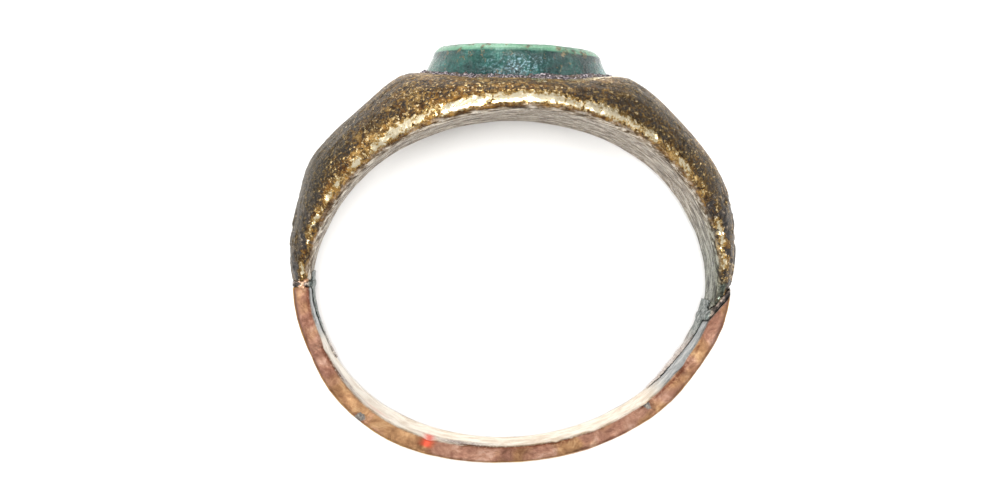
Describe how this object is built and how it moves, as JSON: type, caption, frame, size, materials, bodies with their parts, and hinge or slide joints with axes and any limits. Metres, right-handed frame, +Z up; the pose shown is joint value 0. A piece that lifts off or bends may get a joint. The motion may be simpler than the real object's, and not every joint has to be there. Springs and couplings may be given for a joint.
{
  "type": "finger ring",
  "caption": "Ancient cast bronze finger ring with a broad bezel, an oval green glass intaglio and a soldered replacement strip that closes the hoop.",
  "frame": {"origin": "on the surface it lies on, under the middle of the ring's box", "axes": "+Z up, with the ring laid on its side; +Y towards the glass, which is tipped up because the bezel is broader than the strip; +X across the hoop"},
  "size_m": [0.022, 0.021, 0.0108],
  "materials": {
    "bronze": "patinated cast bronze, worn bright on its edges",
    "green_glass": "weathered, nearly opaque green glass",
    "cement": "dark granular cement and corrosion",
    "shank_brass": "scratched and stained brass strip with saw-cut edges",
    "solder": "dull grey solder"
  },
  "bodies": {
    "root": {"bronze_hoop": "bronze", "glass_intaglio": "green_glass", "setting_cement": "cement", "replacement_shank": "shank_brass", "solder_seam_left": "solder", "solder_seam_right": "solder"}
  },
  "joints": []
}
